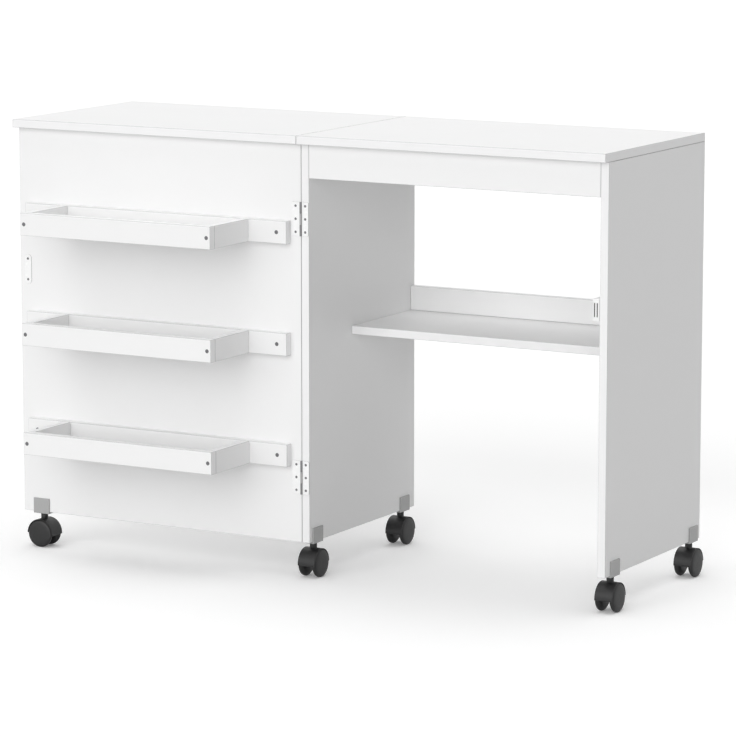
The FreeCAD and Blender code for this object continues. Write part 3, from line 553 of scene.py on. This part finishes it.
def drilled(mesh, fasteners):
    """The mesh with holes for a set of screws or cams, its flat faces kept flat."""
    name = fasteners + "_holes"
    cutter = bpy.data.objects.new(name, finished(welded(fasteners), name, ()))
    bpy.context.scene.collection.objects.link(cutter)
    made = modified(mesh, "BOOLEAN", object=cutter, solver="EXACT")
    bpy.data.objects.remove(cutter)
    made = modified(made, "WELD", merge_threshold=WELD)
    made.set_sharp_from_angle(angle=SHARP)
    return flattened(made)


def stand_in(name, mesh, *nodes):
    """Put a finished mesh in the scene in place of CAD nodes of one body."""
    item = bpy.data.objects.new(name, mesh)
    bpy.context.scene.collection.objects.link(item)
    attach(item, BODY_OF[nodes[0]])
    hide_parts(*nodes)
    return item


def dress(node, material):
    """Give a CAD node that stays a finer finish."""
    data = frame["nodes"][node].data
    data.materials.clear()
    data.materials.append(material)


def softened(node, width, materials, pick=None):
    """A welded copy of a CAD node with its outer edges rounded, and a material picked for each face."""
    work = welded(node)
    bmesh.ops.dissolve_limit(work, angle_limit=FLAT, verts=work.verts, edges=work.edges)
    work.normal_update()
    weight = work.edges.layers.float.new("bevel_weight_edge")
    for edge in work.edges:
        if edge.calc_face_angle_signed(0.0) > SHARP:
            edge[weight] = 1.0
    if pick:
        for face in work.faces:
            face.material_index = pick(face)
    mesh = finished(work, node + "_work", materials)
    mesh.set_sharp_from_angle(angle=SHARP)
    return rounded(mesh, width, PLATE_SEGMENTS, limit="WEIGHT")


def plate_face(face):
    """Enamel on the two broad faces of an upright plate, bare steel round its edge, whose dark grey is also a
    painted shadow line.
    """
    face.normal_update()
    return ENAMEL if abs(face.normal.y) > FACING else CUT_EDGE_AND_SHADOW


def eased(box, low_ends, high_ends):
    """A board's box drawn back by a hairline at the ends that meet other boards."""
    gap = bpy.context.scene.table_boards.joint_gap
    return box[0] + gap * Vector(low_ends), box[1] - gap * Vector(high_ends)


def board_mesh(name, boxes):
    """Boards between pairs of corners: coated on their broad faces and banded round their edges."""
    look = bpy.context.scene.table_boards
    work = bmesh.new()
    for low, high in boxes:
        size = high - low
        thin = min(range(3), key=lambda axis: size[axis])
        place = Matrix.Translation((low + high) / 2) @ Matrix.Diagonal((*size, 1.0))
        made = bmesh.ops.create_cube(work, size=1.0, matrix=place)
        for face in {face for vert in made["verts"] for face in vert.link_faces}:
            face.normal_update()
            face.material_index = FACE if abs(face.normal[thin]) > FACING else BAND
    mesh = finished(work, name, (coated_board(), banded_edge(), glue_line()))
    return rounded(mesh, look.edge_round, look.edge_segments, GLUE_LINE)


def board(name, node, fasteners=None):
    """A board in place of a CAD node, with holes if fasteners show in its faces."""
    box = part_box(node)
    if node in MET_ENDS:
        box = eased(box, *MET_ENDS[node])
    mesh = board_mesh(name, [box])
    if fasteners:
        mesh = drilled(mesh, fasteners)
    return stand_in(name, mesh, node)


# Geometry Nodes


class Tree:
    """A Geometry Nodes tree with named inputs, and builders for its nodes."""

    def __init__(self, name):
        self.group = bpy.data.node_groups.new(name, "GeometryNodeTree")
        self.group.interface.new_socket("Geometry", in_out="INPUT", socket_type="NodeSocketGeometry")
        self.group.interface.new_socket("Geometry", in_out="OUTPUT", socket_type="NodeSocketGeometry")
        self.start = self.group.nodes.new("NodeGroupInput")
        self.end = self.group.nodes.new("NodeGroupOutput")

    def input(self, name, kind="Float"):
        """A named input of the tree."""
        self.group.interface.new_socket(name, in_out="INPUT", socket_type="NodeSocket" + kind)
        return self.start.outputs[name]

    def node(self, kind, inputs=None, **settings):
        """A node with its settings, and its inputs linked or set."""
        made = self.group.nodes.new(kind)
        for name, value in settings.items():
            setattr(made, name, value)
        for name, value in (inputs or {}).items():
            self.feed(made.inputs[name], value)
        return made

    def feed(self, socket, value):
        """Link a socket to another, or set its value."""
        if isinstance(value, bpy.types.NodeSocket):
            self.group.links.new(value, socket)
        else:
            socket.default_value = value

    def math(self, operation, first, second=0.0, third=0.0):
        """The result of a sum with up to three terms."""
        terms = {0: first, 1: second, 2: third}
        return self.node("ShaderNodeMath", terms, operation=operation).outputs[0]

    def ring_share(self):
        """How far along its length, from 0 to 1, a point of a unit cylinder lies, and the point itself."""
        position = self.node("GeometryNodeInputPosition").outputs[0]
        point = self.node("ShaderNodeSeparateXYZ", {"Vector": position})
        return self.math("ADD", point.outputs["Z"], 0.5), point

    def quarter(self, half, power):
        """Cosine and sine, raised to a power, of the quarter turn that a half share above 0 runs through."""
        turn = self.math("MULTIPLY", self.math("MAXIMUM", half, 0.0), math.pi)
        waves = (self.math("MAXIMUM", self.math(wave, turn), 0.0) for wave in ("COSINE", "SINE"))
        return [self.math("POWER", wave, power) for wave in waves]

    def turned(self, tube, point, radius, height):
        """A unit cylinder whose rings take new radii and heights."""
        spot = self.node("ShaderNodeCombineXYZ", {
            "X": self.math("MULTIPLY", point.outputs["X"], radius),
            "Y": self.math("MULTIPLY", point.outputs["Y"], radius),
            "Z": height,
        }).outputs[0]
        return self.node("GeometryNodeSetPosition", {"Geometry": tube, "Position": spot}).outputs[0]

    def placed(self, shape, spin=None):
        """The shape at every point, its Z axis along the point's direction, spun at random if asked."""
        heading = self.node(
            "GeometryNodeInputNamedAttribute", {"Name": "direction"}, data_type="FLOAT_VECTOR"
        ).outputs["Attribute"]
        rotation = self.node("FunctionNodeAlignRotationToVector", {"Vector": heading}, axis="Z").outputs[0]
        if spin is not None:
            chance = self.node(
                "FunctionNodeRandomValue", {"Seed": spin, RANDOM_MOST: math.tau}, data_type="FLOAT"
            ).outputs[RANDOM_RESULT]
            turn = self.node(
                "FunctionNodeAxisAngleToRotation", {"Axis": (0.0, 0.0, 1.0), "Angle": chance}
            ).outputs[0]
            rotation = self.node(
                "FunctionNodeRotateRotation",
                {"Rotation": rotation, "Rotate By": turn},
                rotation_space="LOCAL",
            ).outputs[0]
        return self.node("GeometryNodeInstanceOnPoints", {
            "Points": self.start.outputs["Geometry"], "Instance": shape, "Rotation": rotation,
        }).outputs[0]

    def finish(self, instances, material):
        """Make the instances real, give them their material and end the tree."""
        real = self.node("GeometryNodeRealizeInstances", {"Geometry": instances}).outputs[0]
        painted = self.node("GeometryNodeSetMaterial", {"Geometry": real, "Material": material}).outputs[0]
        self.group.links.new(painted, self.end.inputs[0])
        return self.group


def cross_fastener_tree():
    """Turned fasteners with a cross recess in the head: countersunk screws, or straight-walled cams."""
    tree = Tree("Cross fasteners")
    head = tree.input("Head Radius")
    height = tree.input("Head Height")
    shank = tree.input("Shank Radius")
    reach = tree.input("Length")
    tip = tree.input("Tip")
    proud = tree.input("Proud")
    recess = tree.input("Recess Length")
    slot = tree.input("Slot Width")
    depth = tree.input("Recess Depth")
    seed = tree.input("Seed", "Int")
    material = tree.input("Material", "Material")
    top = tree.math("MULTIPLY", proud, -1.0)
    rings = []
    for inset, rise in CROWN:
        radius = tree.math("SUBTRACT", head, tree.math("MULTIPLY", proud, inset))
        rings.append((radius, tree.math("MULTIPLY", proud, -rise)))
    rings += [
        (shank, height),
        (shank, tree.math("SUBTRACT", reach, tip)),
        (tree.math("SUBTRACT", shank, tree.math("MULTIPLY", tip, TIP_FALL)), reach),
    ]
    last = len(rings) - 1
    tube = tree.node("GeometryNodeMeshCylinder", {
        "Vertices": FASTENER_SIDES, "Side Segments": last, "Radius": 1.0, "Depth": 1.0,
    }).outputs["Mesh"]
    share, point = tree.ring_share()
    index = tree.math("MULTIPLY_ADD", share, last, 0.5)
    levels = []
    for column in range(2):
        switch = tree.node("GeometryNodeIndexSwitch", {"Index": index}, data_type="FLOAT")
        while len(switch.index_switch_items) < len(rings):
            switch.index_switch_items.new()
        for step, ring in enumerate(rings):
            tree.feed(switch.inputs[step + 1], ring[column])
        levels.append(switch.outputs[0])
    turned = tree.turned(tube, point, *levels)
    both_ways = tree.math("MULTIPLY", depth, 2.0)
    cutters = []
    for along, across in ((recess, slot), (slot, recess)):
        size = tree.node("ShaderNodeCombineXYZ", {"X": along, "Y": across, "Z": both_ways}).outputs[0]
        bar = tree.node("GeometryNodeMeshCube", {"Size": size}).outputs["Mesh"]
        lift = tree.node("ShaderNodeCombineXYZ", {"Z": top}).outputs[0]
        cutters.append(tree.node("GeometryNodeTransform", {"Geometry": bar, "Translation": lift}).outputs[0])
    bored = tree.node("GeometryNodeMeshBoolean", {"Mesh 1": turned}, operation="DIFFERENCE", solver="EXACT")
    for cutter in cutters:
        tree.group.links.new(cutter, bored.inputs["Mesh 2"])
    return tree.finish(tree.placed(bored.outputs["Mesh"], seed), material)


def wheel_tree():
    """Caster wheels: a squarish dome outwards from the tread, and a rounded fall inwards."""
    tree = Tree("Caster wheels")
    radius = tree.input("Radius")
    inner = tree.input("Inner Face")
    width = tree.input("Width")
    power = tree.input("Squareness")
    fall = tree.input("Inner Fall")
    inner_power = tree.input("Inner Power")
    sides = tree.input("Sides", "Int")
    rings = tree.input("Rings", "Int")
    material = tree.input("Material", "Material")
    tube = tree.node("GeometryNodeMeshCylinder", {
        "Vertices": sides, "Side Segments": rings, "Radius": 1.0, "Depth": 1.0,
    }).outputs["Mesh"]
    share, point = tree.ring_share()
    outward = tree.quarter(tree.math("SUBTRACT", share, 0.5), power)
    inward = tree.quarter(tree.math("SUBTRACT", 0.5, share), inner_power)
    kept = tree.math("SUBTRACT", 1.0, tree.math("MULTIPLY", fall, tree.math("SUBTRACT", 1.0, inward[0])))
    across = tree.math("MULTIPLY", tree.math("MULTIPLY", radius, outward[0]), kept)
    along = tree.math("ADD", 1.0, tree.math("SUBTRACT", outward[1], inward[1]))
    height = tree.math("ADD", inner, tree.math("MULTIPLY", tree.math("MULTIPLY", width, 0.5), along))
    disc = tree.turned(tube, point, across, height)
    closed = tree.node("GeometryNodeMergeByDistance", {"Geometry": disc, "Distance": WELD}).outputs[0]
    return tree.finish(tree.placed(closed), material)


def grown(name, tree, spots, inputs, *nodes):
    """Run a tree on some spots, each a place and a direction, and keep the result as a plain mesh."""
    mesh = bpy.data.meshes.new(name)
    mesh.from_pydata([place for place, _ in spots], [], [])
    directions = mesh.attributes.new("direction", "FLOAT_VECTOR", "POINT")
    for step, (_, direction) in enumerate(spots):
        directions.data[step].vector = direction
    item = bpy.data.objects.new(name, mesh)
    modifier = item.modifiers.new("Build", "NODES")
    modifier.node_group = tree
    sockets = {
        socket.name: socket.identifier
        for socket in tree.interface.items_tree
        if socket.in_out == "INPUT"
    }
    for label, value in inputs.items():
        modifier[sockets[label]] = value
    bpy.context.scene.collection.objects.link(item)
    made = evaluated(item)
    bpy.data.objects.remove(item)
    bpy.data.meshes.remove(mesh)
    made.name = name
    made.shade_smooth()
    made.set_sharp_from_angle(angle=SHARP)
    return stand_in(name, made, *nodes)


def let_in(low, high, axis, at_low):
    """The spot of a fastener that goes in along an axis, from the low or the high side of its box."""
    place = (low + high) / 2
    place[axis] = low[axis] if at_low else high[axis]
    heading = Vector((0.0, 0.0, 0.0))
    heading[axis] = 1.0 if at_low else -1.0
    return place, heading


def turned_rings(points, middle, axis):
    """The radius at each level of a turned solid along its axis."""
    rings = {}
    for point in points:
        off = point - middle
        off[axis] = 0.0
        level = next((known for known in rings if abs(known - point[axis]) < LEVEL), point[axis])
        rings[level] = max(rings.get(level, 0.0), off.length)
    return rings


def screw_measures(node):
    """The spots of a node's screws, whose heads are their wider ends, and the sizes that they share."""
    spots = []
    for points in solids_of(node):
        low, high = corners(points)
        axis = max(range(3), key=lambda step: high[step] - low[step])
        rings = turned_rings(points, (low + high) / 2, axis)
        levels = sorted(rings)
        at_low = rings[levels[0]] >= rings[levels[-1]]
        if not at_low:
            levels.reverse()
        spots.append(let_in(low, high, axis, at_low))
    shank = rings[levels[1]]
    sizes = {
        "Head Radius": rings[levels[0]],
        "Head Height": abs(levels[1] - levels[0]),
        "Shank Radius": shank,
        "Length": abs(levels[-1] - levels[0]),
        "Tip": shank,
    }
    return spots, sizes


def cam_measures(node):
    """The spots of the cam locks on the faces that they are let into, and the sizes that they share."""
    spots = []
    boxes = [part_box(name) for name in CABINET_BOARDS]
    for points in solids_of(node):
        low, high = corners(points)
        middle = (low + high) / 2
        axis = min(range(3), key=lambda step: high[step] - low[step])
        home = next(
            box for box in boxes
            if all(box[0][step] <= middle[step] <= box[1][step] for step in range(3))
        )
        at_low = abs(low[axis] - home[0][axis]) < abs(high[axis] - home[1][axis])
        spots.append(let_in(low, high, axis, at_low))
    size = high - low
    deep = min(size)
    radius = max(size) / 2
    sizes = {
        "Head Radius": radius,
        "Head Height": deep / 2,
        "Shank Radius": radius,
        "Length": deep,
        "Tip": deep * CAM_TIP,
    }
    return spots, sizes


def cross_set(name, tree, measures, material, seed, *nodes):
    """A set of cross-headed fasteners on the spots that were measured."""
    look = bpy.context.scene.table_fittings
    spots, sizes = measures
    recess = 2 * sizes["Head Radius"] * look.recess_share
    inputs = dict(sizes)
    inputs.update({
        "Proud": look.head_proud,
        "Recess Length": recess,
        "Slot Width": recess * look.slot_share,
        "Recess Depth": min(sizes["Head Height"], sizes["Head Radius"] / 2),
        "Seed": seed,
        "Material": material,
    })
    return grown(name, tree, spots, inputs, *nodes)


# Operators


class SEWINGTABLE_OT_worktop(bpy.types.Operator):
    """Fixed top and folding leaf"""

    bl_idname = "sewing_table.worktop"
    bl_label = "Worktop"

    def execute(self, context):
        board("fixed_top_board", "fixed_top")
        board("folding_leaf_board", "folding_leaf")
        return {"FINISHED"}


class SEWINGTABLE_OT_cabinet(bpy.types.Operator):
    """Side panels, aprons, shelf and its back rail"""

    bl_idname = "sewing_table.cabinet"
    bl_label = "Cabinet boards"

    def execute(self, context):
        for node in CABINET_BOARDS:
            board(node + "_board", node, "cam_locks")
        return {"FINISHED"}


class SEWINGTABLE_OT_door(bpy.types.Operator):
    """Door that swings out under the leaf"""

    bl_idname = "sewing_table.door"
    bl_label = "Door"

    def execute(self, context):
        board("door_board", "door_panel")
        return {"FINISHED"}


class SEWINGTABLE_OT_trays(bpy.types.Operator):
    """Three trays: front and back boards, sides and floors"""

    bl_idname = "sewing_table.trays"
    bl_label = "Trays"

    def execute(self, context):
        for level in LEVELS:
            for place, screws in (("front", "tray_frame_screws"), ("back", "tray_mount_screws")):
                board(f"{level}_tray_{place}", f"{level}_tray_{place}_board", screws)
        sides = [
            eased(corners(points), TRAY_SIDE_ENDS, TRAY_SIDE_ENDS)
            for points in solids_of("tray_sides")
        ]
        stand_in("tray_side_boards", board_mesh("tray_side_boards", sides), "tray_sides")
        look = context.scene.table_fittings
        floors = softened("tray_floors", look.plate_round, (tray_base(),))
        stand_in("tray_floor_sheets", floors, "tray_floors")
        return {"FINISHED"}


class SEWINGTABLE_OT_door_hinges(bpy.types.Operator):
    """Two butt hinges with enamelled plates and bare knuckles"""

    bl_idname = "sewing_table.door_hinges"
    bl_label = "Door hinges"

    def execute(self, context):
        look = context.scene.table_fittings
        axis_x, axis_y, _ = JOINTS["door_swing"]["pos_m"]
        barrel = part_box("door_panel")[0].y - axis_y + WELD

        def on_plate(face):
            middle = face.calc_center_median()
            if math.hypot(middle.x - axis_x, middle.y - axis_y) < barrel:
                return KNUCKLE
            return plate_face(face)

        for side, knuckle in (("panel", knuckle_steel()), ("door", satin_plate())):
            node = f"door_hinge_{side}_plates"
            finishes = (white_enamel(), cut_steel(), knuckle)
            leaves = flattened(softened(node, look.plate_round, finishes, on_plate))
            stand_in(f"door_hinge_{side}_leaves", leaves, node)
        dress("door_hinge_pins", knuckle_steel())
        return {"FINISHED"}


class SEWINGTABLE_OT_leaf_hinge(bpy.types.Operator):
    """Slim hinge along the seam of the worktop"""

    bl_idname = "sewing_table.leaf_hinge"
    bl_label = "Leaf hinge"

    def execute(self, context):
        for node in ("leaf_hinge_top_plate", "leaf_hinge_leaf_plate"):
            dress(node, white_enamel())
        dress("leaf_hinge_pin", bright_steel())
        return {"FINISHED"}


class SEWINGTABLE_OT_catch(bpy.types.Operator):
    """Magnetic catch on the right panel and its strike plate on the door"""

    bl_idname = "sewing_table.catch"
    bl_label = "Catch and strike plate"

    def execute(self, context):
        look = context.scene.table_fittings
        for name, node, material in (
            ("catch_case", "catch_housing", moulded_white()),
            ("catch_pole_bars", "catch_poles", pole_iron()),
        ):
            stand_in(name, softened(node, look.plate_round, (material,)), node)
        finishes = (white_enamel(), cut_steel())
        strike = flattened(softened("strike_plate", look.plate_round, finishes, plate_face))
        stand_in("strike_leaf", strike, "strike_plate")
        return {"FINISHED"}


class SEWINGTABLE_OT_screws(bpy.types.Operator):
    """Every screw, with a cross recess in its head"""

    bl_idname = "sewing_table.screws"
    bl_label = "Screws"

    def execute(self, context):
        tree = cross_fastener_tree()
        for seed, node in enumerate(SCREW_SETS):
            name = node.replace("screws", "cross_screws")
            cross_set(name, tree, screw_measures(node), zinc_screw(), seed, node)
        return {"FINISHED"}


class SEWINGTABLE_OT_carcass_fittings(bpy.types.Operator):
    """Cam locks on the inner faces, with the bolts and dowels inside the boards"""

    bl_idname = "sewing_table.carcass_fittings"
    bl_label = "Carcass fittings"

    def execute(self, context):
        tree = cross_fastener_tree()
        seed = len(SCREW_SETS)
        cross_set("cam_discs", tree, cam_measures("cam_locks"), cast_zinc(), seed, "cam_locks")
        dress("cam_bolts", cast_zinc())
        dress("carcass_dowels", bare_beech())
        return {"FINISHED"}


class SEWINGTABLE_OT_brackets(bpy.types.Operator):
    """Angle plates that carry the casters, and their stems"""

    bl_idname = "sewing_table.brackets"
    bl_label = "Caster brackets"

    def execute(self, context):
        look = context.scene.table_fittings
        for name, node in (
            ("side_angle_plates", "side_caster_brackets"),
            ("door_angle_plate", "door_caster_bracket"),
        ):
            stand_in(name, flattened(softened(node, look.bracket_round, (satin_plate(),))), node)
        for node in ("side_caster_stems", "door_caster_stem"):
            dress(node, bright_steel())
        return {"FINISHED"}


class SEWINGTABLE_OT_casters(bpy.types.Operator):
    """Five casters: hood, axle and a pair of domed wheels each"""

    bl_idname = "sewing_table.casters"
    bl_label = "Casters"

    def execute(self, context):
        look = context.scene.table_casters
        tree = wheel_tree()
        for spot in SPOTS:
            hood = f"{spot}_caster_hood"
            cover = softened(hood, look.moulding_round, (moulded_black(),))
            stand_in(f"{spot}_caster_cover", cover, hood)
            dress(f"{spot}_caster_axle", bright_steel())
            wheels = f"{spot}_caster_wheels"
            joint = JOINTS[f"{spot}_caster_roll"]
            centre = Vector(joint["pos_m"])
            axle = Vector(joint["axis"])
            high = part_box(wheels)[1]
            reach = (high - centre).dot(axle)
            inner = min(
                abs((point - centre).dot(axle))
                for points in solids_of(wheels)
                for point in points
            )
            inputs = {
                "Radius": high.z - centre.z,
                "Inner Face": inner,
                "Width": reach - inner,
                "Squareness": look.squareness,
                "Inner Fall": look.inner_fall,
                "Inner Power": look.inner_power,
                "Sides": look.wheel_sides,
                "Rings": look.wheel_rings,
                "Material": moulded_black(),
            }
            grown(f"{spot}_caster_discs", tree, [(centre, axle), (centre, -axle)], inputs, wheels)
        return {"FINISHED"}


class SEWINGTABLE_OT_stage(bpy.types.Operator):
    """Pale floor, soft light, white surround and the camera"""

    bl_idname = "sewing_table.stage"
    bl_label = "Stage"

    def execute(self, context):
        look = context.scene.table_stage
        context.scene.view_settings.view_transform = "Standard"
        studio_floor(look)
        for place in ("front", "top"):
            studio_lamp(look, place)
        studio_world(look)
        studio_camera(look)
        return {"FINISHED"}


# Stage


def seen_directly(tree):
    """1 for rays that show the surround: from the camera, or by gloss or glass; 0 for rays of light."""
    path = tree.nodes.new("ShaderNodeLightPath")
    total = path.outputs["Is Camera Ray"]
    for name in ("Is Glossy Ray", "Is Transmission Ray"):
        either = tree.nodes.new("ShaderNodeMath")
        either.operation = "MAXIMUM"
        tree.links.new(total, either.inputs[0])
        tree.links.new(path.outputs[name], either.inputs[1])
        total = either.outputs[0]
    return total


def studio_floor(look):
    """A pale floor that keeps the object's shadow and is white away from it."""
    work = bmesh.new()
    bmesh.ops.create_grid(work, x_segments=1, y_segments=1, size=look.floor_size / 2)
    finish = Finish("studio_floor", 0.9, specular=0.0)
    seen = seen_directly(finish.tree)
    finish.tone(seen, look.floor_bounce, look.floor_colour)
    glow = look.floor_glow
    finish.shader.inputs["Emission Color"].default_value = (glow, glow, glow, 1.0)
    finish.link(seen, finish.shader.inputs["Emission Strength"])
    floor = bpy.data.objects.new("studio_floor", finished(work, "studio_floor", (finish.material,)))
    bpy.context.scene.collection.objects.link(floor)


def studio_lamp(look, place):
    """A soft lamp from one side."""
    sun = bpy.data.lights.new(f"studio_{place}", "SUN")
    sun.energy = getattr(look, place + "_strength")
    sun.angle = look.softness
    lamp = bpy.data.objects.new(f"studio_{place}", sun)
    lamp.rotation_mode = "QUATERNION"
    lamp.rotation_quaternion = Vector(getattr(look, place + "_from")).to_track_quat("Z", "Y")
    bpy.context.scene.collection.objects.link(lamp)


def studio_world(look):
    """An even light all round, seen as plain white."""
    world = bpy.data.worlds.new("studio_world")
    world.use_nodes = True
    tree = world.node_tree
    tree.nodes.clear()
    even = tree.nodes.new("ShaderNodeBackground")
    even.inputs["Color"].default_value = WHITE
    even.inputs["Strength"].default_value = look.ambient
    white = tree.nodes.new("ShaderNodeBackground")
    white.inputs["Color"].default_value = WHITE
    mix = tree.nodes.new("ShaderNodeMixShader")
    tree.links.new(seen_directly(tree), mix.inputs[0])
    tree.links.new(even.outputs[0], mix.inputs[1])
    tree.links.new(white.outputs[0], mix.inputs[2])
    output = tree.nodes.new("ShaderNodeOutputWorld")
    tree.links.new(mix.outputs[0], output.inputs["Surface"])
    bpy.context.scene.world = world


def studio_camera(look):
    """The camera at the photograph's viewing angle."""
    data = bpy.data.cameras.new("studio_camera")
    data.lens = look.lens
    data.clip_end = look.floor_size
    camera = bpy.data.objects.new("studio_camera", data)
    camera.location = look.camera_place
    camera.rotation_euler = (math.pi / 2 - look.camera_pitch, 0.0, look.camera_yaw)
    bpy.context.scene.collection.objects.link(camera)
    bpy.context.scene.camera = camera


class SEWINGTABLE_PT_build(bpy.types.Panel):
    """Settings and steps of the sewing table"""

    bl_label = "Folding sewing table"
    bl_idname = "SEWINGTABLE_PT_build"
    bl_space_type = "VIEW_3D"
    bl_region_type = "UI"
    bl_category = "Sewing table"

    def draw(self, context):
        for name, group in SETTINGS.items():
            box = self.layout.box()
            box.label(text=group.__doc__)
            for label in group.__annotations__:
                box.prop(getattr(context.scene, name), label)
        for step in STEPS:
            self.layout.operator(step.bl_idname)


STEPS = (
    SEWINGTABLE_OT_stage,
    SEWINGTABLE_OT_worktop,
    SEWINGTABLE_OT_cabinet,
    SEWINGTABLE_OT_door,
    SEWINGTABLE_OT_trays,
    SEWINGTABLE_OT_door_hinges,
    SEWINGTABLE_OT_leaf_hinge,
    SEWINGTABLE_OT_catch,
    SEWINGTABLE_OT_screws,
    SEWINGTABLE_OT_carcass_fittings,
    SEWINGTABLE_OT_brackets,
    SEWINGTABLE_OT_casters,
)


def register():
    for item in (*SETTINGS.values(), *STEPS, SEWINGTABLE_PT_build):
        bpy.utils.register_class(item)
    for name, group in SETTINGS.items():
        setattr(bpy.types.Scene, name, PointerProperty(type=group))


def unregister():
    for name in SETTINGS:
        delattr(bpy.types.Scene, name)
    for item in (SEWINGTABLE_PT_build, *reversed(STEPS), *SETTINGS.values()):
        bpy.utils.unregister_class(item)


def main():
    register()
    bpy.ops.sewing_table.stage()
    bpy.ops.sewing_table.worktop()
    bpy.ops.sewing_table.cabinet()
    bpy.ops.sewing_table.door()
    bpy.ops.sewing_table.trays()
    bpy.ops.sewing_table.door_hinges()
    bpy.ops.sewing_table.leaf_hinge()
    bpy.ops.sewing_table.catch()
    bpy.ops.sewing_table.screws()
    bpy.ops.sewing_table.carcass_fittings()
    bpy.ops.sewing_table.brackets()
    bpy.ops.sewing_table.casters()


if __name__ == "__main__":
    main()
